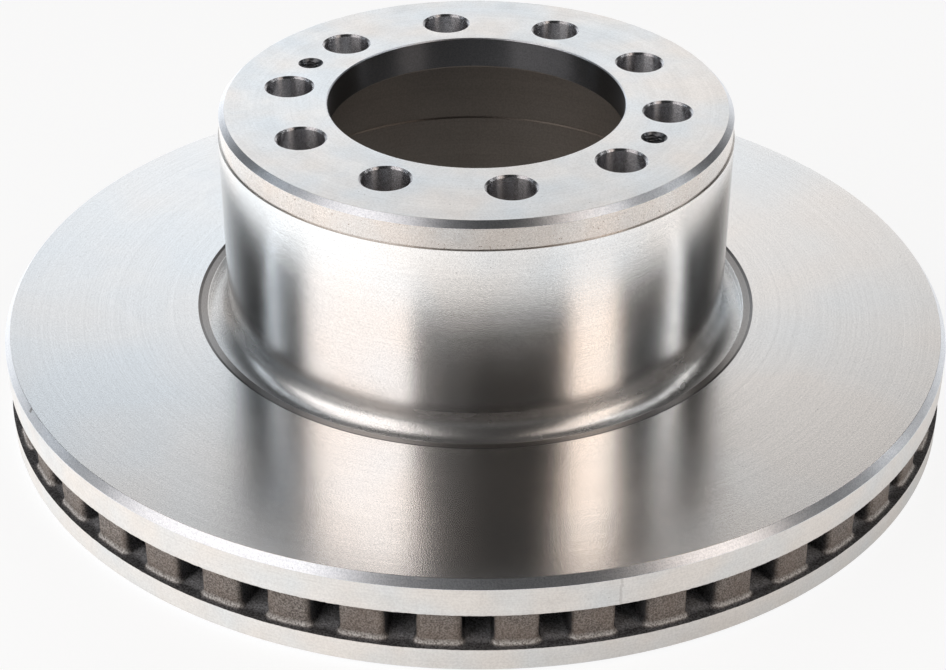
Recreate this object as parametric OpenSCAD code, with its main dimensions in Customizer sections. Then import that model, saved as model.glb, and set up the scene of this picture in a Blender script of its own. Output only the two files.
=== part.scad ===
// Ventilated brake disc of a heavy vehicle, cast in one piece and machined.
// The disc lies on its free friction face, with the hat upwards on the Z axis.

/* [Friction ring] */
// Outer diameter of the ring
ring_d = 430; // [410:1:450]
// Thickness over both friction faces
ring_t = 45; // [41:0.5:50]
// Thickness of the plate that carries the hat
hat_plate_t = 16; // [13:0.5:20]
// Thickness of the free plate
free_plate_t = 12; // [10:0.5:16]
// Bore of the free plate
free_plate_bore_d = 238; // [230:1:246]
// Width of both rim chamfers, seen on the faces
rim_chamfer_w = 2.6; // [1:0.1:4]
// Height of the rim chamfer on the hat's side
hat_rim_chamfer_h = 3.5; // [1:0.1:5]
// Height of the rim chamfer on the free side
free_rim_chamfer_h = 2.5; // [1:0.1:5]
// Chamfer at the bore of the free plate
free_bore_chamfer = 2; // [0.5:0.1:4]

/* [Vents] */
// Number of vent channels, and so of vanes
vent_count = 44; // [30:1:46]
// Width of one channel
vent_w = 12.5; // [9:0.5:14]
// Corner radius of a channel
vent_corner_r = 3; // [1:0.25:4.25]
// Angle from the first bolt hole to the nearest channel
vent_phase = 3.58; // [-4:0.01:4]
// How far the vane ends lie inside the rim
rim_inset = 3; // [1:0.25:5]
// How much larger the cove at a vane's rim end is than that inset
cove_extra = 1; // [0.5:0.25:2]
// How far the vane ends lie behind the bore of the free plate
bore_inset = 4; // [1:0.5:6]

/* [Hat] */
// Height of the disc from the free friction face to the hat's end face
disc_h = 142.5; // [125:0.5:160]
// Diameter of the hat's wall
hat_d = 227.5; // [224:0.5:236]
// Thickness of the hat's wall
hat_wall_t = 14.75; // [10:0.25:16]
// Thickness of the flange that bolts to the hub
flange_t = 15; // [12:0.5:20]
// Fillet under the flange
flange_fillet_r = 3.5; // [1:0.5:6]
// Chamfer round the end face
hat_chamfer = 2.5; // [1:0.1:4]
// Height of the turned band below the end face
band_h = 12.2; // [6:0.1:20]
// How far the band lies inside the wall
band_step = 0.75; // [0.25:0.05:2]
// Height of the land in the hat's mouth, above the free friction face
land_top_h = 85.5; // [60:0.5:100]
// How much narrower the land is than the hat's bore, on the radius
land_step = 0.5; // [0.25:0.05:1.5]
// Rounding of the hat's mouth
mouth_round_r = 5; // [1:0.5:8]

/* [Neck] */
// How much thinner the neck is underneath than the plate over the vents
neck_step = 1.5; // [0.5:0.25:3]
// Width of the relief turned between the hat's wall and the friction face
relief_w = 14.25; // [12:0.25:18]
// Depth of the relief
relief_depth = 1.4; // [0.6:0.1:3]
// Width of the slope from the relief up to the friction face
relief_slope_w = 3.4; // [1:0.1:5]
// Fillet from the hat's wall into the relief
neck_fillet_r = 8; // [4:0.5:10]

/* [Hub fit] */
// Bore that centres the disc on the hub
centre_bore_d = 131; // [120:0.5:140]
// Chamfer at the upper edge of the centring bore
centre_chamfer = 0.5; // [0.2:0.1:1.5]
// Chamfer at the lower edge of the centring bore
centre_exit_chamfer = 1; // [0.2:0.1:2]
// Number of bolt holes
bolt_count = 10; // [6:1:12]
// Pitch circle diameter of the bolt holes
bolt_pcd = 168; // [162:0.5:174]
// Diameter of a bolt hole
bolt_hole_d = 20.5; // [14:0.1:22]
// Chamfer at both ends of a bolt hole
bolt_hole_chamfer = 0.9; // [0.3:0.1:1.5]
// Number of threaded holes for pulling the disc off
puller_count = 2; // [1:1:5]
// Core diameter of a threaded hole
puller_hole_d = 8.5; // [5:0.1:10.2]
// Chamfer at both ends of a threaded hole
puller_hole_chamfer = 1.4; // [0.5:0.1:1.6]

/* [Hidden] */
$fn = 180;
// Cutting tools reach this far past what they open
past = 2;

ring_r = ring_d / 2;
hat_r = hat_d / 2;
band_r = hat_r - band_step;
hat_bore_r = hat_r - hat_wall_t;
land_r = hat_bore_r - land_step;
centre_r = centre_bore_d / 2;
free_bore_r = free_plate_bore_d / 2;
vane_inner_r = free_bore_r + bore_inset;
vane_outer_r = ring_r - rim_inset;
face_inner_r = hat_r + relief_w;

// Heights above the free friction face
hat_plate_z = ring_t - hat_plate_t;
neck_z = hat_plate_z + neck_step;
relief_z = ring_t - relief_depth;
band_z = disc_h - band_h;
flange_z = disc_h - flange_t;

vent_h = hat_plate_z - free_plate_t;
vent_step = 360 / vent_count;
bolt_step = 360 / bolt_count;

// Area between a right angle at the origin and the arc that rounds it off.
// Added, it is a fillet; taken away, it rounds an edge.
module corner_web(r, toward = [1, 1]) {
    mirror([toward[0] < 0 ? 1 : 0, 0])
        mirror([0, toward[1] < 0 ? 1 : 0])
            difference() {
                square(r);
                translate([r, r])
                    circle(r);
            }
}

// Half section of the plate that carries the hat, with its rim chamfer and turned relief
module hat_plate_section() {
    polygon([
        [land_r, neck_z],
        [vane_inner_r, neck_z],
        [vane_inner_r, hat_plate_z],
        [ring_r, hat_plate_z],
        [ring_r, ring_t - hat_rim_chamfer_h],
        [ring_r - rim_chamfer_w, ring_t],
        [face_inner_r, ring_t],
        [face_inner_r - relief_slope_w, relief_z],
        [land_r, relief_z]
    ]);
}

// Half section of the free plate
module free_plate_section() {
    polygon([
        [free_bore_r + free_bore_chamfer, 0],
        [ring_r - rim_chamfer_w, 0],
        [ring_r, free_rim_chamfer_h],
        [ring_r, free_plate_t],
        [free_bore_r, free_plate_t],
        [free_bore_r, free_bore_chamfer]
    ]);
}

// Half section of the groove in which the vanes end at the rim. Its corners are
// rounded more than it is deep, so they meet the plates at an edge.
module rim_groove_section() {
    translate([vane_outer_r, free_plate_t])
        difference() {
            square([rim_inset + past, vent_h]);
            corner_web(rim_inset + cove_extra);
            translate([0, vent_h])
                corner_web(rim_inset + cove_extra, [1, -1]);
        }
}

// Half section of the friction ring before its channels are opened
module ring_section() {
    difference() {
        union() {
            hat_plate_section();
            free_plate_section();
            translate([vane_inner_r, free_plate_t - past])
                square([ring_r - vane_inner_r, vent_h + 2 * past]);
        }
        rim_groove_section();
    }
}

// Half section of the hat: wall, stepped band and flange
module hat_section() {
    polygon([
        [land_r, neck_z],
        [hat_r, neck_z],
        [hat_r, band_z],
        [band_r, band_z],
        [band_r, disc_h - hat_chamfer],
        [band_r - hat_chamfer, disc_h],
        [centre_r + centre_chamfer, disc_h],
        [centre_r, disc_h - centre_chamfer],
        [centre_r, flange_z + centre_exit_chamfer],
        [centre_r + centre_exit_chamfer, flange_z],
        [hat_bore_r, flange_z],
        [hat_bore_r, land_top_h],
        [land_r, land_top_h]
    ]);
    translate([hat_bore_r, flange_z])
        corner_web(flange_fillet_r, [-1, -1]);
    translate([hat_r, relief_z])
        corner_web(neck_fillet_r);
}

// Half section of the whole casting before its holes and channels are opened
module disc_section() {
    difference() {
        union() {
            ring_section();
            hat_section();
        }
        translate([land_r, neck_z])
            corner_web(mouth_round_r);
    }
}

// Outline of a vent channel, seen along it
module channel_outline() {
    difference() {
        translate([-vent_w / 2, 0])
            square([vent_w, vent_h]);
        for (x = [-1, 1], z = [0, 1])
            translate([x * vent_w / 2, z * vent_h])
                corner_web(vent_corner_r, [-x, 1 - 2 * z]);
    }
}

// All the channels, as tools that open the ring from its bore to its rim
module vent_channels() {
    from_r = free_bore_r - past;
    for (i = [0 : vent_count - 1])
        rotate(vent_phase + i * vent_step)
            translate([from_r, 0, free_plate_t])
                rotate([90, 0, 90])
                    linear_extrude(ring_r + past - from_r)
                        channel_outline();
}

// Tool for a hole through the flange, chamfered at both ends
module flange_hole(d, chamfer) {
    r = d / 2;
    reach = chamfer + past;
    translate([0, 0, flange_z - past])
        cylinder(h = flange_t + 2 * past, r = r);
    translate([0, 0, disc_h - chamfer])
        cylinder(h = reach, r1 = r, r2 = r + reach);
    translate([0, 0, flange_z - past])
        cylinder(h = reach, r1 = r + reach, r2 = r);
}

// Bolt holes, the first of them on the X axis
module bolt_holes() {
    for (i = [0 : bolt_count - 1])
        rotate(i * bolt_step)
            translate([bolt_pcd / 2, 0, 0])
                flange_hole(bolt_hole_d, bolt_hole_chamfer);
}

// Threaded holes, on the bolt circle and each midway between two bolt holes
module puller_holes() {
    for (i = [0 : puller_count - 1])
        rotate((i * floor(bolt_count / puller_count) + 0.5) * bolt_step)
            translate([bolt_pcd / 2, 0, 0])
                flange_hole(puller_hole_d, puller_hole_chamfer);
}

module brake_disc() {
    color("gainsboro")
        difference() {
            rotate_extrude()
                disc_section();
            vent_channels();
            bolt_holes();
            puller_holes();
        }
}

brake_disc();
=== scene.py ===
# %% [markdown]
# A ventilated brake disc for a heavy vehicle: one iron casting, turned and ground on the
# faces that work, and left as the sand mould made it between the two plates of its ring.
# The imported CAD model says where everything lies. This lesson builds the visible casting
# round the same axis, with cleaner edges, cast vanes and real threads, and then lights it.

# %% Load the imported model
import math

import bmesh
import bpy
from mathutils import Matrix, Vector, noise
from mathutils.geometry import delaunay_2d_cdt


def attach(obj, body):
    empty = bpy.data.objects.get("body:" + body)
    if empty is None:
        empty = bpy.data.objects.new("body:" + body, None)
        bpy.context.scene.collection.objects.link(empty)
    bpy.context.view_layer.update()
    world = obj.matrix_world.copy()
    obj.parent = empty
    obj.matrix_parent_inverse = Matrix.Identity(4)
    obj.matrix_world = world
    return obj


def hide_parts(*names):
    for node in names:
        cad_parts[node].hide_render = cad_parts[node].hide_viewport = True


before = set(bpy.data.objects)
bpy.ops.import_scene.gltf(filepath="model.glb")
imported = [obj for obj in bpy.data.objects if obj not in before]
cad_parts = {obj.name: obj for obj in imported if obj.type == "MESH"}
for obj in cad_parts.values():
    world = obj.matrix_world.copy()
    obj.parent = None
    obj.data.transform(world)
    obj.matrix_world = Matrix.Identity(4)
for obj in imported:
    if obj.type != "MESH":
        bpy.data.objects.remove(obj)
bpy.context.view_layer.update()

# %% [markdown]
# Every size below is the drawing's, in millimetres, and the mesh is scaled to metres at
# the end. R is a radius from the axis, and Z a height above the free friction face, on
# which the disc lies with its hat upwards.

# %% Sizes of the disc
MM = 0.001
RING_R = 215.0
FACE_EDGE_R = 212.4
RING_TOP = 45.0
RIM_CHAMFER_Z = 41.5
FREE_RIM_CHAMFER_Z = 2.5
CEILING_Z = 29.0
FLOOR_Z = 12.0
FREE_BORE_R = 119.0
FREE_BORE_CHAMFER = 2.0
CEILING_BORE_R = 123.0
NECK_Z = 30.5
VANES = 44
CHANNEL_W = 12.5
VENT_PHASE = math.radians(3.58)
RELIEF_R = 128.0
SHELF_R = 123.5
SHELF_Z = 44.2
RELIEF_Z = 40.9
NECK_FILLET_R = 9.2
NECK_TOP_Z = 53.0
HAT_R = 113.75
BAND_R = 113.0
BAND_Z = 130.3
TOP_Z = 142.5
HAT_CHAMFER = 2.5
HAT_BORE_R = 99.0
LAND_R = 98.5
LAND_Z = 86.0
MOUTH_ROUND_R = 5.0
FLANGE_Z = 127.5
FLANGE_T = TOP_Z - FLANGE_Z
FLANGE_FILLET_R = 3.5
CENTRE_R = 65.5
CENTRE_CHAMFER = 0.5
CENTRE_EXIT_CHAMFER = 1.0
BOLT_CIRCLE_R = 84.0
BOLTS = 10
BOLT_HOLE_R = 10.25
BOLT_CHAMFER = 0.9
print("vane pitch at the rim", round(2 * math.pi * RING_R / VANES, 2), "mm")

# %% [markdown]
# The casting is one closed shell, so its points, faces and finishes go into three shared
# lists. A finish is a number that later becomes a material: the same iron looks different
# where it was ground, turned, drilled or only cast.

# %% The shell's lists and finishes
GROUND, TURNED, BAND, NECK, RELIEF, SLOPE, RIM, END, EDGE, BORE, INSIDE, DRILLED, CAST = range(13)
shell_points = []
shell_faces = []
shell_finish = []


def add_face(corners, finish):
    shell_faces.append(tuple(corners))
    shell_finish.append(finish)


def ring(radius, height, count, centre=(0.0, 0.0)):
    first = len(shell_points)
    for i in range(count):
        a = 2 * math.pi * i / count
        shell_points.append((centre[0] + radius * math.cos(a), centre[1] + radius * math.sin(a), height))
    return list(range(first, first + count))


def bridge(loop_a, loop_b, finish):
    n = len(loop_a)
    for i in range(n):
        j = (i + 1) % n
        add_face((loop_a[i], loop_a[j], loop_b[j], loop_b[i]), finish)


# %% [markdown]
# A lathe part is a half section swung round an axis. The section is written as corners,
# each with the radius that rounds it. No turned edge is a knife edge, and the narrow
# rounded strip on each one is what catches a line of light.

# %% Round the corners of a section
# Degrees of arc in one step, on a broken edge and on a fillet
EDGE_STEP = 30
FILLET_STEP = 13


def round_corners(corners):
    """corners: (across, up, rounding, finish of the stretch that leaves it)"""
    out = []
    for i, (x, y, rounding, finish) in enumerate(corners):
        here = Vector((x, y))
        if rounding == 0 or i in (0, len(corners) - 1):
            stretch = [here]
        else:
            back = (Vector(corners[i - 1][:2]) - here).normalized()
            ahead = (Vector(corners[i + 1][:2]) - here).normalized()
            opening = back.angle(ahead)
            reach = rounding / math.tan(opening / 2)
            centre = here + (back + ahead).normalized() * (rounding / math.sin(opening / 2))
            start, end = here + back * reach, here + ahead * reach
            turn = math.pi - opening
            step = EDGE_STEP if rounding < 1 else FILLET_STEP
            steps = max(2, math.ceil(math.degrees(turn) / step))
            from_centre = start - centre
            side = 1 if from_centre.x * (end - centre).y - from_centre.y * (end - centre).x > 0 else -1
            stretch = []
            for k in range(steps + 1):
                a = side * turn * k / steps
                stretch.append(centre + Matrix.Rotation(a, 2) @ from_centre)
        for p in stretch:
            if not out or (Vector(out[-1][:2]) - p).length > 1e-4:
                out.append((p.x, p.y, finish))
            else:
                out[-1] = (out[-1][0], out[-1][1], finish)
    return out


def lathe(corners, count, centre=(0.0, 0.0)):
    section = round_corners(corners)
    loops = [ring(section[0][0], section[0][1], count, centre)]
    for (_, _, finish), (radius, height, _) in zip(section, section[1:]):
        loops.append(ring(radius, height, count, centre))
        bridge(loops[-2], loops[-1], finish)
    return loops[0], loops[-1]


# %% [markdown]
# A flat face with holes in it needs no regular grid. Blender's constrained Delaunay
# triangulation fills the whole outline, and walking from the outer edge without crossing
# a hole's outline keeps only the metal.

# %% Fill a flat face that has holes
def flat_face(outer, holes, finish):
    loops = [outer, *holes]
    index = [p for loop in loops for p in loop]
    flat = [Vector(shell_points[p][:2]) for p in index]
    edges, start = [], 0
    for loop in loops:
        n = len(loop)
        edges += [(start + i, start + (i + 1) % n) for i in range(n)]
        start += n
    made = delaunay_2d_cdt(flat, edges, [], 0, 1e-6)
    faces = [[index[made[3][v][0]] for v in face] for face in made[2]]
    walls = {frozenset((index[a], index[b])) for a, b in edges}
    sides = {}
    for f, face in enumerate(faces):
        for a, b in zip(face, face[1:] + face[:1]):
            sides.setdefault(frozenset((a, b)), []).append(f)
    reached, waiting = set(), list(sides[frozenset(outer[:2])])
    while waiting:
        f = waiting.pop()
        if f in reached:
            continue
        reached.add(f)
        for a, b in zip(faces[f], faces[f][1:] + faces[f][:1]):
            side = frozenset((a, b))
            if side not in walls:
                waiting += sides[side]
    for f in sorted(reached):
        add_face(faces[f], finish)
    return len(reached)


# %% [markdown]
# The rim is turned, but the channels behind it are cast, and where the cutter ran off
# into the rough surface the edge is slightly ragged. That edge gets four times the points
# of the turned rings, and a small wander up and down. Between the hat and the friction
# face runs a relief: a fillet, a shallow shelf, and a short slope up to the face.

# %% The turned outside: free plate, rim, friction face and hat
TURNS = 8 * VANES
RAGGED = 4
# Height of the strip that joins the turned rings to each plate's ragged edge
FLOOR_STRIP = 1.0
CEILING_STRIP = 1.2


def ragged_ring(radius, height, wander):
    loop = ring(radius, height, TURNS * RAGGED)
    for p in loop:
        x, y, z = shell_points[p]
        lift = noise.noise(Vector((x, y, z)) * 0.45) + 0.6 * noise.noise(Vector((x, y, z)) * 1.1)
        shell_points[p] = (x, y, z + wander * lift)
    return loop


def join_ragged(plain, ragged, finish):
    n = len(plain)
    for i in range(n):
        a, b = plain[i], plain[(i + 1) % n]
        f = [ragged[(RAGGED * i + k) % len(ragged)] for k in range(RAGGED + 1)]
        add_face((a, f[0], f[1]), finish)
        add_face((a, f[1], f[2]), finish)
        add_face((a, f[2], b), finish)
        add_face((b, f[2], f[3]), finish)
        add_face((b, f[3], f[4]), finish)


free_bore, free_rim = lathe([
    (FREE_BORE_R, FLOOR_Z, 0, TURNED),
    (FREE_BORE_R, FREE_BORE_CHAMFER, 0.2, EDGE),
    (FREE_BORE_R + FREE_BORE_CHAMFER, 0.0, 0.2, GROUND),
    (FACE_EDGE_R, 0.0, 0.2, EDGE),
    (RING_R, FREE_RIM_CHAMFER_Z, 0.25, RIM),
    (RING_R, FLOOR_Z - FLOOR_STRIP, 0, RIM),
], TURNS)
floor_edge = ragged_ring(RING_R, FLOOR_Z, 0.12)
join_ragged(free_rim, floor_edge, RIM)

hat_rim, end_outer = lathe([
    (RING_R, CEILING_Z + CEILING_STRIP, 0, RIM),
    (RING_R, RIM_CHAMFER_Z, 0.3, EDGE),
    (FACE_EDGE_R, RING_TOP, 0.2, GROUND),
    # The slope and the shelf of the relief have finishes painted dark as shade in the groove.
    (RELIEF_R, RING_TOP, 0.25, SLOPE),
    (RELIEF_R - 1.3, SHELF_Z + 0.3, 0.4, RELIEF),
    (SHELF_R, SHELF_Z, 0.3, NECK),
    (SHELF_R - 0.2, RELIEF_Z, 0.3, NECK),
    (HAT_R, RELIEF_Z, NECK_FILLET_R, NECK),
    (HAT_R, NECK_TOP_Z, 0, TURNED),
    (HAT_R, BAND_Z, 0.12, RIM),
    (BAND_R, BAND_Z, 0.1, BAND),
    (BAND_R, TOP_Z - HAT_CHAMFER, 0.2, EDGE),
    (BAND_R - HAT_CHAMFER, TOP_Z, 0.15, END),
    (109.6, TOP_Z, 0, END),
], TURNS)
ceiling_edge = ragged_ring(RING_R, CEILING_Z, 0.16)
join_ragged(hat_rim, ceiling_edge, RIM)
print("turned outside", len(shell_points), "points")

# %% [markdown]
# The hat is hollow. Its inside is turned too, only coarser, and ends in a rounded mouth
# that leads out under the neck to the ceiling of the vents. Where a section borders on a
# flat face with holes, it reaches a little way into it, and the face is filled up to there.

# %% The centring bore and the inside of the hat
end_inner, bore_foot = lathe([
    (67.0, TOP_Z, 0, END),
    (CENTRE_R + CENTRE_CHAMFER, TOP_Z, 0.12, EDGE),
    (CENTRE_R, TOP_Z - CENTRE_CHAMFER, 0.12, BORE),
    (CENTRE_R, FLANGE_Z + CENTRE_EXIT_CHAMFER, 0.15, INSIDE),
    (CENTRE_R + CENTRE_EXIT_CHAMFER, FLANGE_Z, 0.15, INSIDE),
    (67.5, FLANGE_Z, 0, INSIDE),
], TURNS)
under_outer, ceiling_bore = lathe([
    (HAT_BORE_R - FLANGE_FILLET_R, FLANGE_Z, 0, INSIDE),
    (HAT_BORE_R, FLANGE_Z, FLANGE_FILLET_R, INSIDE),
    (HAT_BORE_R, LAND_Z, 0.3, INSIDE),
    (LAND_R, LAND_Z - 0.7, 0.4, INSIDE),
    (LAND_R, NECK_Z, MOUTH_ROUND_R, INSIDE),
    (CEILING_BORE_R, NECK_Z, 0.3, INSIDE),
    (CEILING_BORE_R, CEILING_Z, 0, CAST),
], TURNS)

# %% [markdown]
# Ten bolt holes and two small threaded ones sit on one circle. The bolt holes are lathe
# sections on their own axes. In a threaded hole each point of the wall moves outwards by
# the height of a V thread that climbs 1.5 mm a turn, and the chamfers cut it off.

# %% Holes through the flange
def bolt_hole(centre):
    return lathe([
        (11.6, TOP_Z, 0, END),
        (BOLT_HOLE_R + BOLT_CHAMFER, TOP_Z, 0.1, DRILLED),
        (BOLT_HOLE_R, TOP_Z - BOLT_CHAMFER, 0.12, DRILLED),
        (BOLT_HOLE_R, FLANGE_Z + BOLT_CHAMFER, 0.12, DRILLED),
        (BOLT_HOLE_R + BOLT_CHAMFER, FLANGE_Z, 0, DRILLED),
    ], 56, centre)


def threaded_hole(centre, core=4.25, depth=0.72, pitch=1.5, chamfer=1.4, sides=44):
    levels = int(FLANGE_T / (pitch / 7))
    loops = []
    for k in range(levels + 1):
        z = TOP_Z - FLANGE_T * k / levels
        from_end = min(TOP_Z - z, z - FLANGE_Z)
        loop = ring(core, z, sides, centre)
        for i, p in enumerate(loop):
            climb = (z / pitch - i / sides) % 1.0
            wave = min(1.0, max(0.0, 1.25 - abs(climb - 0.5) * 3.4))
            r = max(core + depth * wave, core + chamfer - from_end)
            a = 2 * math.pi * i / sides
            shell_points[p] = (centre[0] + r * math.cos(a), centre[1] + r * math.sin(a), z)
        loops.append(loop)
    for upper, lower in zip(loops, loops[1:]):
        bridge(upper, lower, BORE)
    return loops[0], loops[-1]


def on_bolt_circle(steps):
    a = 2 * math.pi * steps / BOLTS
    return BOLT_CIRCLE_R * math.cos(a), BOLT_CIRCLE_R * math.sin(a)


hole_axes = [on_bolt_circle(steps) for steps in (*range(BOLTS), 0.5, 5.5)]
holes = [bolt_hole(axis) for axis in hole_axes[:BOLTS]]
holes += [threaded_hole(axis) for axis in hole_axes[BOLTS:]]
top_faces = flat_face(end_outer, [end_inner, *[top for top, _ in holes]], END)
under_faces = flat_face(under_outer, [bore_foot, *[foot for _, foot in holes]], INSIDE)
print("holes", len(holes), "end face", top_faces, "triangles, underside", under_faces)

# %% [markdown]
# Each vane is a wedge between two straight channels. Its outline, seen from above, is
# rounded at the corners, and it flares at the floor and at the ceiling, because a sand
# core has rounded edges. No two vanes are quite the same: sand moves a little.

# %% Outline of one vane
VANE_TIP_R = 125.0
VANE_END_R = 212.0
END_CORNER_R = 2.2
TIP_CORNER_R = 2.0
END_FACE_STEPS = 17
# Marks along a vane's side, measured from its end and closer where the sand wanders more
SIDE_MARKS = (-1.6, -3.4, -6.0, -11.0, -22.0, -45.0)
half_pitch = math.pi / VANES


def side_point(s, sign):
    o = CHANNEL_W / 2
    return Vector((s * math.cos(half_pitch) + o * math.sin(half_pitch),
                   sign * (s * math.sin(half_pitch) - o * math.cos(half_pitch))))


def vane_outline():
    """points of a vane seen from above, each with the direction that leads out of it"""
    end_corners = [
        (*side_point(VANE_TIP_R + 20, 1), 0, 0),
        (*side_point(VANE_END_R - 0.1, 1), END_CORNER_R, 0),
        (*side_point(VANE_END_R - 0.1, -1), END_CORNER_R, 0),
        (*side_point(VANE_TIP_R + 20, -1), 0, 0),
    ]
    arcs = [Vector(p[:2]) for p in round_corners(end_corners)][1:-1]
    arc_a, arc_b = arcs[:len(arcs) // 2], arcs[len(arcs) // 2:]
    width = arc_a[-1].y - arc_b[0].y
    end_face = []
    for k in range(1, END_FACE_STEPS):
        y = arc_a[-1].y - width * k / END_FACE_STEPS
        end_face.append(Vector((math.sqrt(VANE_END_R ** 2 - y * y), y)))
    up = [side_point(VANE_END_R - 2.0 + mark, 1) for mark in reversed(SIDE_MARKS)]
    down = [side_point(VANE_END_R - 2.0 + mark, -1) for mark in SIDE_MARKS]
    tip_corners = [
        (*side_point(VANE_TIP_R + 6, -1), 0, 0),
        (*side_point(VANE_TIP_R, -1), TIP_CORNER_R, 0),
        (*side_point(VANE_TIP_R, 1), TIP_CORNER_R, 0),
        (*side_point(VANE_TIP_R + 6, 1), 0, 0),
    ]
    tip = [Vector(p[:2]) for p in round_corners(tip_corners)]
    line = up + arc_a + end_face + arc_b + down + tip
    middle = Vector(((VANE_TIP_R + VANE_END_R) / 2, 0.0))
    out = []
    for i, p in enumerate(line):
        along = line[(i + 1) % len(line)] - line[i - 1]
        outward = Vector((along.y, -along.x)).normalized()
        if outward.dot(p - middle) < 0:
            outward.negate()
        out.append((p, outward))
    return out


outline = vane_outline()
print("vane outline", len(outline), "points, end", round(2 * max(p.y for p, _ in outline), 1), "mm wide")

# %% Raise the vanes between floor and ceiling
COVE = 3.0
# How much thicker or thinner than the drawing a vane can be, on each side
SWELL = 0.22
# The sand wanders fully on the ends that are seen at the rim, from this radius
SEEN_FROM = 190
cove_angles = [math.radians(a) for a in (0, 24, 48, 70, 90)]
cove = [(COVE * (1 - math.cos(a)), COVE * (1 - math.sin(a))) for a in cove_angles]
shaft = [(COVE + (CEILING_Z - FLOOR_Z - 2 * COVE) * k / 7, 0.0) for k in range(1, 7)]
head = [(CEILING_Z - FLOOR_Z - h, out) for h, out in reversed(cove)]
vane_levels = cove + shaft + head


def sand_wander(p):
    return 0.17 * noise.noise(p * 0.42) + 0.20 * noise.noise(p * 0.13 + Vector((7.0, 0, 0)))


def raise_vane(k):
    turn = VENT_PHASE + (k + 0.5) * 2 * half_pitch
    spin = Matrix.Rotation(turn, 2)
    swell = SWELL * math.sin(k * 12.9898)
    loops = []
    for height, flare in vane_levels:
        loop = []
        for p, outward in outline:
            reach = flare * (0.92 - 0.38 * max(0.0, outward.x) - 0.4 * max(0.0, -outward.x))
            base = spin @ p
            sand = sand_wander(Vector((base.x, base.y, FLOOR_Z + height)))
            fade = 1.0 if p.x > SEEN_FROM else 0.4
            q = spin @ (p + outward * (reach + fade * (sand + swell * abs(outward.y))))
            loop.append(len(shell_points))
            shell_points.append((q.x, q.y, FLOOR_Z + height))
        loops.append(loop)
    for low, high in zip(loops, loops[1:]):
        bridge(low, high, CAST)
    return loops[0], loops[-1]


vanes = [raise_vane(k) for k in range(VANES)]
floor_faces = flat_face(floor_edge, [free_bore, *[foot for foot, _ in vanes]], CAST)
ceiling_faces = flat_face(ceiling_edge, [ceiling_bore, *[top for _, top in vanes]], CAST)
print("vanes", len(vanes), "floor", floor_faces, "ceiling", ceiling_faces)

# %% [markdown]
# All lists become one mesh. Smooth shading alone would bend the light on the big flat
# faces next to a rounded edge, so the Weighted Normal modifier lets large faces decide.

# %% Make the casting
def wrap_holes(mesh):
    """a UV map whose first axis runs round each hole, as the marks of its drill do"""
    layer = mesh.uv_layers.new(name="round the hole")
    for face in mesh.polygons:
        if face.material_index != DRILLED:
            continue
        here = face.center / MM
        axis = min(hole_axes, key=lambda c: (c[0] - here.x) ** 2 + (c[1] - here.y) ** 2)
        middle = math.atan2(here.y - axis[1], here.x - axis[0])
        for corner in face.loop_indices:
            p = mesh.vertices[mesh.loops[corner].vertex_index].co / MM
            turn = math.atan2(p.y - axis[1], p.x - axis[0]) - middle
            turn = (turn + math.pi) % (2 * math.pi) - math.pi
            layer.data[corner].uv = ((middle + turn) / (2 * math.pi), p.z / FLANGE_T)


def make_casting(name):
    mesh = bpy.data.meshes.new(name)
    mesh.from_pydata([(x * MM, y * MM, z * MM) for x, y, z in shell_points], [], shell_faces)
    mesh.polygons.foreach_set("material_index", shell_finish)
    shell = bmesh.new()
    shell.from_mesh(mesh)
    bmesh.ops.recalc_face_normals(shell, faces=shell.faces)
    open_edges = sum(not e.is_manifold for e in shell.edges)
    volume = shell.calc_volume()
    if volume < 0:
        bmesh.ops.reverse_faces(shell, faces=shell.faces)
    shell.to_mesh(mesh)
    shell.free()
    wrap_holes(mesh)
    mesh.polygons.foreach_set("use_smooth", [True] * len(mesh.polygons))
    mesh.set_sharp_from_angle(angle=math.radians(38))
    piece = bpy.data.objects.new(name, mesh)
    bpy.context.scene.collection.objects.link(piece)
    even = piece.modifiers.new("large faces decide", "WEIGHTED_NORMAL")
    even.mode = "FACE_AREA"
    even.weight = 50
    even.keep_sharp = True
    mesh.calc_loop_triangles()
    print(name, len(mesh.loop_triangles), "triangles, open edges", open_edges,
          "volume", round(abs(volume) * 1e6, 1), "cm3")
    return piece


casting = make_casting("disc_casting")
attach(casting, "root")
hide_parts("brake_disc")

# %% [markdown]
# Materials next. All finishes share a few effects, which are built once as node groups:
# the circles a turning tool leaves, the grain of grey iron, and the stains of handling.
# A helper adds a node and sets its sockets, so each material reads as a short recipe.

# %% Node helpers
def set_socket(tree, socket, value):
    if isinstance(value, bpy.types.NodeSocket):
        tree.links.new(value, socket)
    else:
        socket.default_value = value


def add_node(tree, kind, settings=None, **sockets):
    """sockets: labels with _ for a space, or i0, i1 and so on where labels repeat"""
    made = tree.nodes.new(kind)
    for key, value in (settings or {}).items():
        setattr(made, key, value)
    for key, value in sockets.items():
        by_place = key[0] == "i" and key[1:].isdigit()
        socket = made.inputs[int(key[1:]) if by_place else key.replace("_", " ")]
        set_socket(tree, socket, value)
    return made


def math_node(tree, operation, a, b=0.0):
    return add_node(tree, "ShaderNodeMath", {"operation": operation}, i0=a, i1=b).outputs[0]


def times(tree, first, *factors):
    product = first
    for factor in factors:
        product = math_node(tree, "MULTIPLY", product, factor)
    return product


def vector_node(tree, operation, **sockets):
    return add_node(tree, "ShaderNodeVectorMath", {"operation": operation}, **sockets)


def towards(tree, place, degrees):
    """how far a place or a direction reaches towards a heading on the table"""
    a = math.radians(degrees)
    heading = (math.cos(a), math.sin(a), 0.0)
    return vector_node(tree, "DOT_PRODUCT", i0=place, i1=heading).outputs["Value"]


def spread(tree, value, low, high, to_low=0.0, to_high=1.0):
    made = add_node(tree, "ShaderNodeMapRange", {"clamp": True}, Value=value)
    for key, number in zip(("From Min", "From Max", "To Min", "To Max"), (low, high, to_low, to_high)):
        set_socket(tree, made.inputs[key], number)
    return made.outputs[0]


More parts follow.
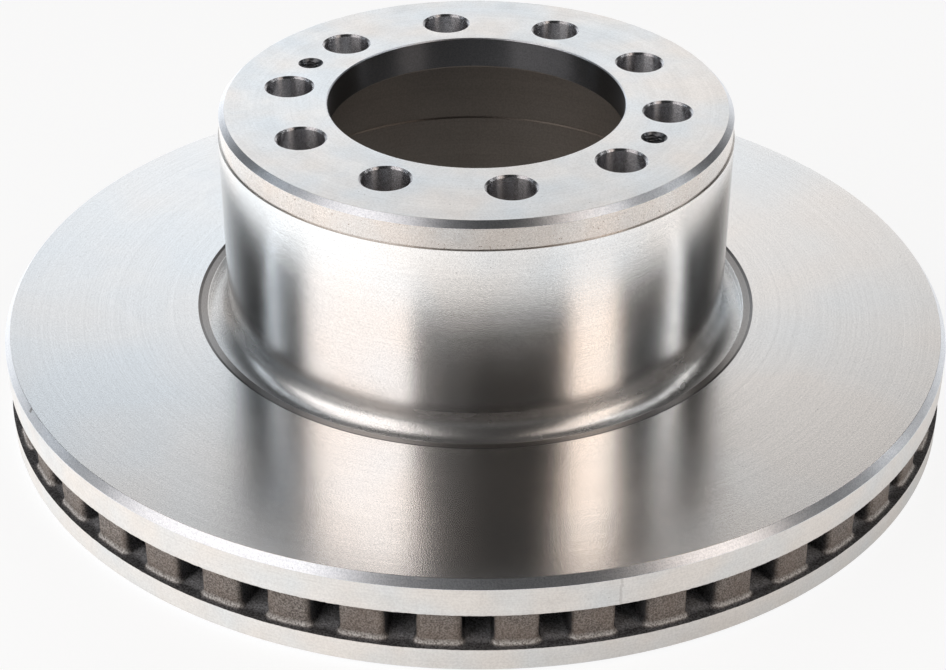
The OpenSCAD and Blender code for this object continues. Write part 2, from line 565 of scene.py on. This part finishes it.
def mix_colours(tree, factor, a, b, blend="MIX"):
    made = add_node(tree, "ShaderNodeMix", {"data_type": "RGBA", "blend_type": blend})
    for place, value in ((0, factor), (6, a), (7, b)):
        set_socket(tree, made.inputs[place], (*value, 1.0) if isinstance(value, tuple) else value)
    return made.outputs[2]


def new_group(name, inputs, outputs):
    group = bpy.data.node_groups.new(name, "ShaderNodeTree")
    for label, kind, value in inputs:
        socket = group.interface.new_socket(label, in_out="INPUT", socket_type=kind)
        if value is not None:
            socket.default_value = value
    for label, kind in outputs:
        group.interface.new_socket(label, in_out="OUTPUT", socket_type=kind)
    return group, group.nodes.new("NodeGroupInput"), group.nodes.new("NodeGroupOutput")


def place_group(tree, group, **sockets):
    made = tree.nodes.new("ShaderNodeGroup")
    made.node_tree = group
    for key, value in sockets.items():
        set_socket(tree, made.inputs[key.replace("_", " ")], value)
    return made


# %% [markdown]
# A turning tool draws circles round the axis. The group measures how far a point lies
# from the axis, and reads noise that changes fast across the circles and slowly along
# them. The angle goes in as a cosine and a sine, so the circles close without a seam.

# %% Effect: turning lines
# Broad bands per fine line
BROAD_SHARE = 0.13


def make_turning_lines():
    group, inp, out = new_group(
        "turning lines",
        [("Position", "NodeSocketVector", None), ("Lines per mm", "NodeSocketFloat", 2.0),
         ("Drift", "NodeSocketFloat", 0.6), ("Across", "NodeSocketFloat", 1.0)],
        [("Fine", "NodeSocketFloat"), ("Broad", "NodeSocketFloat"), ("Radius", "NodeSocketFloat")])
    t = group
    parts = add_node(t, "ShaderNodeSeparateXYZ", Vector=inp.outputs["Position"])
    flat = add_node(t, "ShaderNodeCombineXYZ", X=parts.outputs[0], Y=parts.outputs[1]).outputs[0]
    radius = vector_node(t, "LENGTH", i0=flat).outputs["Value"]
    heading = vector_node(t, "NORMALIZE", i0=flat).outputs[0]
    slow = vector_node(t, "SCALE", i0=heading, Scale=inp.outputs["Drift"]).outputs[0]
    turned = add_node(t, "ShaderNodeSeparateXYZ", Vector=slow)
    per_metre = times(t, inp.outputs["Lines per mm"], 1000.0)
    across = times(t, radius, per_metre, inp.outputs["Across"])
    up = times(t, parts.outputs[2], per_metre)
    place = add_node(t, "ShaderNodeCombineXYZ", X=across, Y=turned.outputs[0], Z=turned.outputs[1])
    place = place.outputs[0]
    fine = add_node(t, "ShaderNodeTexNoise", {"noise_dimensions": "4D"},
                    Vector=place, W=up, Scale=1.0, Detail=2.0, Roughness=0.6)
    wide = vector_node(t, "SCALE", i0=place, Scale=BROAD_SHARE).outputs[0]
    broad = add_node(t, "ShaderNodeTexNoise", {"noise_dimensions": "4D"},
                     Vector=wide, W=times(t, up, BROAD_SHARE), Scale=1.0, Detail=1.0)
    t.links.new(fine.outputs["Fac"], out.inputs["Fine"])
    t.links.new(broad.outputs["Fac"], out.inputs["Broad"])
    t.links.new(radius, out.inputs["Radius"])
    return group


turning_lines = make_turning_lines()
print("group", turning_lines.name)

# %% [markdown]
# Grey iron is full of graphite flakes, so even a clean cut is speckled, and each grain
# tilts the reflection a little. Hands and cutting fluid leave soft cool and warm patches,
# and where a film of fluid dried, a faint line runs along its edge.

# %% Effects: iron speckle and handling stains
def make_iron_speckle():
    group, inp, out = new_group(
        "iron speckle",
        [("Position", "NodeSocketVector", None), ("Grain mm", "NodeSocketFloat", 0.5),
         ("Dark share", "NodeSocketFloat", 0.3)],
        [("Speckle", "NodeSocketFloat"), ("Pits", "NodeSocketFloat")])
    t = group
    place = inp.outputs["Position"]
    scale = math_node(t, "DIVIDE", 1000.0, inp.outputs["Grain mm"])
    grain = add_node(t, "ShaderNodeTexNoise", Vector=place, Scale=scale, Detail=2.0, Roughness=0.6)
    rare = add_node(t, "ShaderNodeTexNoise", Vector=place, Scale=times(t, scale, 0.62), Detail=1.0)
    limit = math_node(t, "SUBTRACT", 0.86, times(t, inp.outputs["Dark share"], 0.3))
    pits = spread(t, rare.outputs["Fac"], limit, math_node(t, "ADD", limit, 0.05))
    t.links.new(grain.outputs["Fac"], out.inputs["Speckle"])
    t.links.new(pits, out.inputs["Pits"])
    return group


def make_handling_stains():
    group, inp, out = new_group(
        "handling stains",
        [("Position", "NodeSocketVector", None), ("Patch mm", "NodeSocketFloat", 40.0)],
        [("Warm", "NodeSocketFloat"), ("Smear", "NodeSocketFloat"), ("Dried edge", "NodeSocketFloat")])
    t = group
    place = inp.outputs["Position"]
    scale = math_node(t, "DIVIDE", 1000.0, inp.outputs["Patch mm"])
    patch = add_node(t, "ShaderNodeTexNoise", Vector=place, Scale=scale, Detail=2.0, Roughness=0.45)
    smear = add_node(t, "ShaderNodeTexNoise", Vector=place, Scale=times(t, scale, 2.7), Detail=3.0,
                     Roughness=0.5)
    one_side = add_node(t, "ShaderNodeSeparateXYZ", Vector=place).outputs[0]
    # The patches lean cooler towards -X and warmer towards +X.
    lean = spread(t, one_side, -0.2, 0.2, -0.08, 0.08)
    warm = spread(t, math_node(t, "ADD", patch.outputs["Fac"], lean), 0.32, 0.68)
    from_edge = math_node(t, "ABSOLUTE", math_node(t, "SUBTRACT", patch.outputs["Fac"], 0.52))
    t.links.new(warm, out.inputs["Warm"])
    t.links.new(spread(t, smear.outputs["Fac"], 0.25, 0.75), out.inputs["Smear"])
    t.links.new(spread(t, from_edge, 0.004, 0.014, 1.0, 0.0), out.inputs["Dried edge"])
    return group


def make_knock():
    group, inp, out = new_group(
        "knock",
        [("Position", "NodeSocketVector", None), ("Heading", "NodeSocketVector", None),
         ("Half width mm", "NodeSocketFloat", 0.4), ("Low mm", "NodeSocketFloat", 0.0),
         ("High mm", "NodeSocketFloat", 50.0)],
        [("Mark", "NodeSocketFloat")])
    t = group
    place = inp.outputs["Position"]
    heading = inp.outputs["Heading"]
    half_width = inp.outputs["Half width mm"]
    sideways = vector_node(t, "CROSS_PRODUCT", i0=heading, i1=place).outputs[0]
    across = add_node(t, "ShaderNodeSeparateXYZ", Vector=sideways).outputs[2]
    ahead = vector_node(t, "DOT_PRODUCT", i0=heading, i1=place).outputs["Value"]
    up = add_node(t, "ShaderNodeSeparateXYZ", Vector=place).outputs[2]
    wobble = add_node(t, "ShaderNodeTexNoise", Vector=place, Scale=400.0, Detail=2.0)
    ragged = times(t, math_node(t, "SUBTRACT", wobble.outputs["Fac"], 0.5), 0.0025)
    off = math_node(t, "DIVIDE", math_node(t, "ABSOLUTE", math_node(t, "ADD", across, ragged)), MM)
    near = spread(t, off, times(t, half_width, 0.5), half_width, 1.0, 0.0)
    level = math_node(t, "DIVIDE", up, MM)
    above = math_node(t, "GREATER_THAN", level, inp.outputs["Low mm"])
    below = math_node(t, "LESS_THAN", level, inp.outputs["High mm"])
    mark = times(t, near, above, below, math_node(t, "GREATER_THAN", ahead, 0.1))
    t.links.new(mark, out.inputs["Mark"])
    return group


iron_speckle = make_iron_speckle()
handling_stains = make_handling_stains()
knock = make_knock()
print("groups", iron_speckle.name, handling_stains.name, knock.name)

# %% [markdown]
# One recipe serves the machined finishes. What differs is how rough the metal is, how
# strongly the circles stretch a highlight across them, and how deep lines and grain are.
# The stretch is the shader's own anisotropy, with a tangent that runs round the axis.

# %% Machined iron
COOL_FILM = (0.91, 0.95, 0.98)
WARM_FILM = (1.0, 0.955, 0.915)
DRIED_FILM = (0.95, 0.93, 0.90)
BARE_SCRATCH = (0.98, 0.98, 0.99)
PIT_DEPTH = 0.02


def new_material(name):
    material = bpy.data.materials.new(name)
    material.use_nodes = True
    tree = material.node_tree
    tree.nodes.clear()
    return material, tree


def machined_colour(t, place, turn, iron, stain, light, dark, tint, dried, scratches, dirt, knocks):
    colour = mix_colours(t, spread(t, iron.outputs["Speckle"], 0.36, 0.62), dark, light)
    shade = spread(t, turn.outputs["Fine"], 0.3, 0.7, 0.95, 1.03)
    grey = add_node(t, "ShaderNodeCombineColor", i0=shade, i1=shade, i2=shade).outputs[0]
    colour = mix_colours(t, 1.0, colour, grey, "MULTIPLY")
    film = mix_colours(t, stain.outputs["Warm"], COOL_FILM, WARM_FILM)
    colour = mix_colours(t, tint, colour, film, "MULTIPLY")
    colour = mix_colours(t, times(t, stain.outputs["Dried edge"], dried), colour, DRIED_FILM)
    if scratches:
        short = place_group(t, turning_lines, Position=place, Lines_per_mm=2.6, Drift=26.0)
        streak = spread(t, short.outputs["Fine"], 0.60, 0.72, 0.0, scratches)
        colour = mix_colours(t, streak, colour, BARE_SCRATCH)
    for degrees, half_width, low, high, strength, paint in knocks:
        a = math.radians(degrees)
        mark = place_group(t, knock, Position=place, Heading=(math.cos(a), math.sin(a), 0.0),
                           Half_width_mm=half_width, Low_mm=low, High_mm=high)
        colour = mix_colours(t, times(t, mark.outputs[0], strength), colour, paint)
    return mix_colours(t, times(t, iron.outputs["Pits"], 0.75), colour, dirt)


def machined_iron(name, light, dark, roughness, stretch, lines, line_depth, grain, grain_depth, tint,
                  pits=0.3, patch=60.0, smear=0.012, dried=0.0, scratches=0.0, dirt=(0.25, 0.24, 0.23),
                  knocks=(), hole_map=None):
    """light, dark: colours of the grains; lines: how many a mm; grain, patch: sizes in mm"""
    material, t = new_material(name)
    place = add_node(t, "ShaderNodeTexCoord").outputs["Object"]
    turn = place_group(t, turning_lines, Position=place, Lines_per_mm=lines,
                       Across=0.0 if hole_map else 1.0)
    iron = place_group(t, iron_speckle, Position=place, Grain_mm=grain, Dark_share=pits)
    stain = place_group(t, handling_stains, Position=place, Patch_mm=patch)
    colour = machined_colour(t, place, turn, iron, stain, light, dark, tint, dried, scratches, dirt,
                             knocks)
    rough = math_node(t, "ADD", times(t, turn.outputs["Broad"], 0.4),
                      times(t, stain.outputs["Smear"], 0.6))
    rough = spread(t, rough, 0.2, 0.8, roughness - smear, roughness + smear)
    height = math_node(t, "ADD", times(t, turn.outputs["Fine"], line_depth),
                       times(t, iron.outputs["Speckle"], grain_depth))
    height = math_node(t, "SUBTRACT", height, times(t, iron.outputs["Pits"], PIT_DEPTH))
    bump = add_node(t, "ShaderNodeBump", Strength=1.0, Distance=MM, Height=height)
    if hole_map:
        tangent = add_node(t, "ShaderNodeTangent", {"direction_type": "UV_MAP", "uv_map": hole_map})
    else:
        tangent = add_node(t, "ShaderNodeTangent", {"direction_type": "RADIAL", "axis": "Z"})
    shader = add_node(t, "ShaderNodeBsdfPrincipled", Metallic=1.0, Base_Color=colour, Roughness=rough,
                      Anisotropic=stretch, Anisotropic_Rotation=0.25,
                      Normal=bump.outputs[0], Tangent=tangent.outputs[0])
    add_node(t, "ShaderNodeOutputMaterial", Surface=shader.outputs[0])
    return material


# %% [markdown]
# The iron between the plates still has its sand skin. The vanes' ends at the rim are
# brownish, with a painted highlight: a pale strip along the foot. Behind them the channels'
# walls and the floor's ledge at the rim are painted dark as shade, and the channels' floors
# are painted pale as light that falls in. The zones are heights and radii, in the metres of
# the mesh.

# %% Sand-cast iron
AT_RIM = (0.2085, 0.2113)
OFF_FLOOR = (0.01205, 0.0127)
ABOVE_FOOT = (0.0129, 0.0149)


def sand_cast_iron(name):
    material, t = new_material(name)
    place = add_node(t, "ShaderNodeTexCoord").outputs["Object"]
    sand = place_group(t, iron_speckle, Position=place, Grain_mm=0.72, Dark_share=0.5)
    stain = place_group(t, handling_stains, Position=place, Patch_mm=12.0)
    turn = place_group(t, turning_lines, Position=place, Lines_per_mm=1.0)
    height_above = add_node(t, "ShaderNodeSeparateXYZ", Vector=place).outputs[2]
    grain = spread(t, sand.outputs["Speckle"], 0.38, 0.64)
    colour = mix_colours(t, grain, (0.14, 0.122, 0.110), (0.50, 0.45, 0.415))
    colour = mix_colours(t, times(t, stain.outputs["Warm"], 0.35), colour, (0.34, 0.26, 0.21))
    at_rim = spread(t, turn.outputs["Radius"], *AT_RIM)
    off_floor = spread(t, height_above, *OFF_FLOOR)
    above_foot = spread(t, height_above, *ABOVE_FOOT)
    # The pale strip along the foot of each vane's end is a painted highlight.
    foot_only = times(t, off_floor, math_node(t, "SUBTRACT", 1.0, above_foot))
    painted_foot_highlight = times(t, at_rim, spread(t, sand.outputs["Speckle"], 0.36, 0.58, 0.2, 1.0))
    colour = mix_colours(t, times(t, foot_only, painted_foot_highlight), colour, (0.92, 0.90, 0.88))
    # Behind the vanes' ends, and on the floor's ledge at the rim, the iron is painted dark as shade.
    painted_shade_behind_ends = math_node(t, "SUBTRACT", 1.0, times(t, off_floor, at_rim))
    dark = mix_colours(t, grain, (0.050, 0.050, 0.052), (0.21, 0.21, 0.22))
    colour = mix_colours(t, painted_shade_behind_ends, colour, dark)
    # The channels' floors inward of the rim are painted pale, as light that falls in.
    painted_light_on_channel_floor = math_node(t, "SUBTRACT", 1.0, math_node(t, "MAXIMUM", off_floor, at_rim))
    pale = mix_colours(t, grain, (0.28, 0.285, 0.30), (0.70, 0.71, 0.74))
    colour = mix_colours(t, painted_light_on_channel_floor, colour, pale)
    height = math_node(t, "SUBTRACT", sand.outputs["Speckle"], times(t, sand.outputs["Pits"], 0.6))
    bump = add_node(t, "ShaderNodeBump", Strength=1.0, Distance=0.32 * MM, Height=height)
    shader = add_node(t, "ShaderNodeBsdfPrincipled", Metallic=0.25, Base_Color=colour, Roughness=0.6,
                      Normal=bump.outputs[0])
    add_node(t, "ShaderNodeOutputMaterial", Surface=shader.outputs[0])
    return material


# %% [markdown]
# Each finish is the recipe with its own numbers: the colours of its light and dark grains,
# how rough it is, how far its lines stretch a highlight, and then its lines and grain.
# A knock is a heading, half a width, a lower and an upper height, a strength and a colour.

# %% The finishes
finish_materials = {
    GROUND: machined_iron("ground friction face", (0.95, 0.95, 0.955), (0.78, 0.78, 0.785), 0.178, 0.86,
                          lines=1.6, line_depth=0.0008, grain=0.55, grain_depth=0.036, tint=0.9, patch=90.0,
                          dried=0.10),
    TURNED: machined_iron("turned wall", (0.91, 0.91, 0.91), (0.76, 0.76, 0.76), 0.175, 0.85,
                          lines=1.8, line_depth=0.0010, grain=0.52, grain_depth=0.033, tint=0.8, pits=0.35,
                          patch=50.0, dirt=(0.40, 0.36, 0.33)),
    BAND: machined_iron("turned band", (0.80, 0.765, 0.735), (0.66, 0.615, 0.58), 0.27, 0.80,
                        lines=2.2, line_depth=0.002, grain=0.6, grain_depth=0.03, tint=0.6, pits=0.5,
                        patch=20.0, dirt=(0.30, 0.21, 0.16)),
    NECK: machined_iron("turned neck", (0.88, 0.885, 0.89), (0.72, 0.725, 0.73), 0.27, 0.45,
                        lines=1.8, line_depth=0.0012, grain=0.6, grain_depth=0.06, tint=0.6),
    # The floor of the relief has darker colours: painted shade in the groove.
    RELIEF: machined_iron("floor of the relief in painted shade", (0.39, 0.375, 0.37), (0.28, 0.27, 0.265), 0.34, 0.70,
                          lines=1.8, line_depth=0.0012, grain=0.6, grain_depth=0.03, tint=0.5),
    # The slope of the relief has dark colours: painted shade in the groove's outer corner.
    SLOPE: machined_iron("slope of the relief in painted shade", (0.19, 0.185, 0.185), (0.13, 0.125, 0.125), 0.32, 0.70,
                         lines=1.8, line_depth=0.0012, grain=0.6, grain_depth=0.03, tint=0.5),
    RIM: machined_iron("turned rim", (0.78, 0.762, 0.74), (0.70, 0.68, 0.66), 0.44, 0.4,
                       lines=2.6, line_depth=0.003, grain=0.9, grain_depth=0.010, tint=0.7,
                       pits=0.25, patch=22.0, smear=0.05,
                       knocks=[(-30.8, 0.7, 29.0, 41.6, 0.30, (0.35, 0.32, 0.30))]),
    END: machined_iron("end face", (0.885, 0.885, 0.89), (0.78, 0.78, 0.78), 0.34, 0.3,
                       lines=1.6, line_depth=0.0006, grain=0.7, grain_depth=0.02, tint=1.0, patch=30.0,
                       smear=0.03, dried=0.16),
    EDGE: machined_iron("cut chamfers", (0.88, 0.905, 0.95), (0.68, 0.71, 0.76), 0.33, 0.58,
                        lines=3.0, line_depth=0.002, grain=0.6, grain_depth=0.04, tint=0.2, pits=0.3,
                        scratches=0.45, knocks=[(-51.3, 2.6, 44.1, 45.0, 0.8, (0.98, 0.98, 1.0)),
                                                (-107.9, 1.2, 43.4, 45.0, 0.8, (0.22, 0.21, 0.21))]),
    # The centring bore and the threaded holes have dark colours: painted shade inside the holes.
    BORE: machined_iron("centring bore", (0.24, 0.245, 0.26), (0.19, 0.195, 0.21), 0.30, 0.96,
                        lines=2.2, line_depth=0.001, grain=0.7, grain_depth=0.01, tint=0.3),
    # The inside of the hat is brown-grey iron with dark colours: painted shade in the hollow.
    INSIDE: machined_iron("inside of the hat in painted shade", (0.24, 0.21, 0.185), (0.205, 0.18, 0.158), 0.45, 0.6,
                          lines=1.2, line_depth=0.004, grain=0.9, grain_depth=0.01, tint=0.3, smear=0.05),
    DRILLED: machined_iron("drilled holes", (0.78, 0.78, 0.81), (0.52, 0.52, 0.545), 0.27, 1.0,
                           lines=1.5, line_depth=0.012, grain=0.7, grain_depth=0.006, tint=0.2,
                           hole_map="round the hole"),
    CAST: sand_cast_iron("sand-cast iron"),
}
for finish in sorted(finish_materials):
    casting.data.materials.append(finish_materials[finish])
print("finishes", [m.name for m in casting.data.materials])

# %% [markdown]
# The studio is a white sweep behind the disc and dark elsewhere. A large soft light stands
# on the left and a narrower, warmer one on the right, with a thin strip beyond each. Metal
# is only as good as what it reflects: these lights draw the bright bands on hat and ring,
# and the white table is what the rims and the upper part of the hat's wall reflect.

# %% Headings of the studio, in degrees from the X axis
FRONT = -45.92
TABLE_FRONT = -46.0
LEFT = 224.0
BACK = 138.0
FLOOR_DROP = 0.0003
print("the camera looks from", FRONT, "degrees")


# %% Floor
def make_floor():
    """a table that the camera sees as white, with its own level in the metal's reflections: a painted
    shadow under and beside the disc, painted darker in front and brighter on the left
    """
    bpy.ops.mesh.primitive_circle_add(vertices=96, radius=6.0, fill_type="NGON",
                                      location=(0, 0, -FLOOR_DROP))
    floor = bpy.context.object
    floor.name = "studio_floor"
    material, t = new_material("white table")
    path = add_node(t, "ShaderNodeLightPath")
    seen = math_node(t, "MAXIMUM", path.outputs["Is Camera Ray"], path.outputs["Is Glossy Ray"])
    paper = add_node(t, "ShaderNodeBsdfDiffuse", Color=(0.8, 0.8, 0.8, 1.0))
    soft = add_node(t, "ShaderNodeBsdfDiffuse", Color=(0.22, 0.22, 0.22, 1.0))
    place = add_node(t, "ShaderNodeTexCoord").outputs["Object"]
    out = vector_node(t, "LENGTH", i0=place).outputs["Value"]
    left = towards(t, place, LEFT)
    front = towards(t, place, TABLE_FRONT)
    # A painted shadow of the disc under and beside it, a painted dark front and a painted light on the
    # left, all on the table as the metal reflects it.
    painted_shadow_under_disc = spread(t, out, 0.205, 0.218, 0.44, 1.0)
    painted_shadow_beside_disc = spread(t, out, 0.215, 0.265, spread(t, left, -0.10, 0.06, 0.62, 0.97), 1.0)
    painted_dark_front = spread(t, front, 0.42, 0.62, 1.0, 0.06)
    painted_light_left = spread(t, left, -0.05, 0.25, 0.97, 1.32)
    mirrored = times(t, painted_light_left, painted_shadow_under_disc, painted_shadow_beside_disc, painted_dark_front)
    brightness = spread(t, path.outputs["Is Glossy Ray"], 0.0, 1.0, 0.86, mirrored)
    glow = add_node(t, "ShaderNodeEmission", Color=(1.0, 1.0, 1.0, 1.0), Strength=brightness)
    lit = add_node(t, "ShaderNodeAddShader", i0=soft.outputs[0], i1=glow.outputs[0])
    mixed = add_node(t, "ShaderNodeMixShader", Fac=seen, i1=paper.outputs[0], i2=lit.outputs[0])
    add_node(t, "ShaderNodeOutputMaterial", Surface=mixed.outputs[0])
    floor.data.materials.append(material)


make_floor()

# %% World
DARK_ROOM = 0.038
HORIZON = 0.16
SWEEP = 1.67


def make_world():
    """white to the camera; to everything else a dark room with a white sweep at its back"""
    world = bpy.data.worlds.new("studio")
    bpy.context.scene.world = world
    world.use_nodes = True
    t = world.node_tree
    t.nodes.clear()
    is_camera = add_node(t, "ShaderNodeLightPath").outputs["Is Camera Ray"]
    way = add_node(t, "ShaderNodeTexCoord").outputs["Generated"]
    up = add_node(t, "ShaderNodeSeparateXYZ", Vector=way).outputs[2]
    back = towards(t, way, BACK)
    left = towards(t, way, LEFT)
    width = math_node(t, "POWER", spread(t, back, 0.48, 0.98), 2.0)
    width = times(t, width, spread(t, left, -0.2, 0.2, 0.98, 1.03))
    sweep = times(t, spread(t, up, 0.66, 0.80, 1.0, 0.0), width, SWEEP)
    horizon = spread(t, up, 0.0, 0.25, HORIZON, DARK_ROOM)
    level = math_node(t, "MAXIMUM", horizon, sweep)
    level = spread(t, is_camera, 0.0, 1.0, level, 1.0)
    hue = mix_colours(t, spread(t, left, -0.2, 0.2), (1.0, 0.985, 0.97), (0.94, 0.97, 1.0))
    hue = mix_colours(t, is_camera, hue, (1.0, 1.0, 1.0))
    background = add_node(t, "ShaderNodeBackground", Color=hue, Strength=level)
    add_node(t, "ShaderNodeOutputWorld", Surface=background.outputs[0])


make_world()

# %% Lamps
LAMP_DISTANCE = 1.6


def softbox(name, azimuth, width, radiance, colour=(1.0, 1.0, 1.0), bottom=0.25, top=3.0):
    """a tall panel that stands upright and faces the disc"""
    lamp = bpy.data.lights.new(name, "AREA")
    lamp.shape = "RECTANGLE"
    lamp.size, lamp.size_y = width, top - bottom
    lamp.energy = radiance * math.pi * lamp.size * lamp.size_y
    lamp.color = colour
    holder = bpy.data.objects.new(name, lamp)
    a = math.radians(azimuth)
    way = Vector((math.cos(a), math.sin(a), 0.0))
    holder.location = way * LAMP_DISTANCE + Vector((0, 0, (bottom + top) / 2))
    holder.rotation_mode = "QUATERNION"
    holder.rotation_quaternion = way.to_track_quat("Z", "Y")
    bpy.context.scene.collection.objects.link(holder)


softbox("left softbox", FRONT - 54.0, 1.60, 1.5, (1.0, 0.945, 0.915))
softbox("right softbox", FRONT + 53.4, 0.64, 1.54, (1.0, 0.88, 0.79))
softbox("right strip", FRONT + 98.5, 0.12, 3.0)
softbox("left strip", FRONT - 100.5, 0.09, 2.7, (0.9, 0.95, 1.0))
softbox("upper right panel", FRONT + 72.0, 0.45, 2.2, bottom=1.5, top=2.1)

# %% [markdown]
# A real softbox has no hard edge: its light spills on to the walls beside it. Three dim
# panels next to the left one make its band fade out on the hat, as it does in the photo.

# %% Spill of the left softbox
softbox("left softbox's spill", FRONT - 21.0, 0.36, 0.15, (1.0, 0.96, 0.94))
softbox("far end of the spill", FRONT - 8.5, 0.36, 0.05, (1.0, 0.96, 0.94))
softbox("spill on the outer side", FRONT - 88.5, 0.34, 0.07, (0.95, 0.98, 1.0))

# %% [markdown]
# The camera stands where the photo was taken from: the circles of the disc fix its
# direction, distance and lens.

# %% Camera
LENS = 77.10
LENS_SHIFT = (0.00039, -0.00214)
CAMERA_PLACE = Vector((0.563094, -0.581474, 0.527206))
CAMERA_RIGHT = Vector((0.715795, 0.698302, 0.003423))
CAMERA_UP = Vector((-0.372253, 0.377421, 0.847928))


def make_camera():
    data = bpy.data.cameras.new("camera")
    data.sensor_width = 36.0
    data.lens = LENS
    data.shift_x, data.shift_y = LENS_SHIFT
    holder = bpy.data.objects.new("camera", data)
    turn = Matrix((CAMERA_RIGHT, CAMERA_UP, CAMERA_RIGHT.cross(CAMERA_UP))).transposed().to_4x4()
    holder.matrix_world = Matrix.Translation(CAMERA_PLACE) @ turn
    bpy.context.scene.collection.objects.link(holder)
    bpy.context.scene.camera = holder


make_camera()
bpy.context.scene.view_settings.view_transform = "Standard"
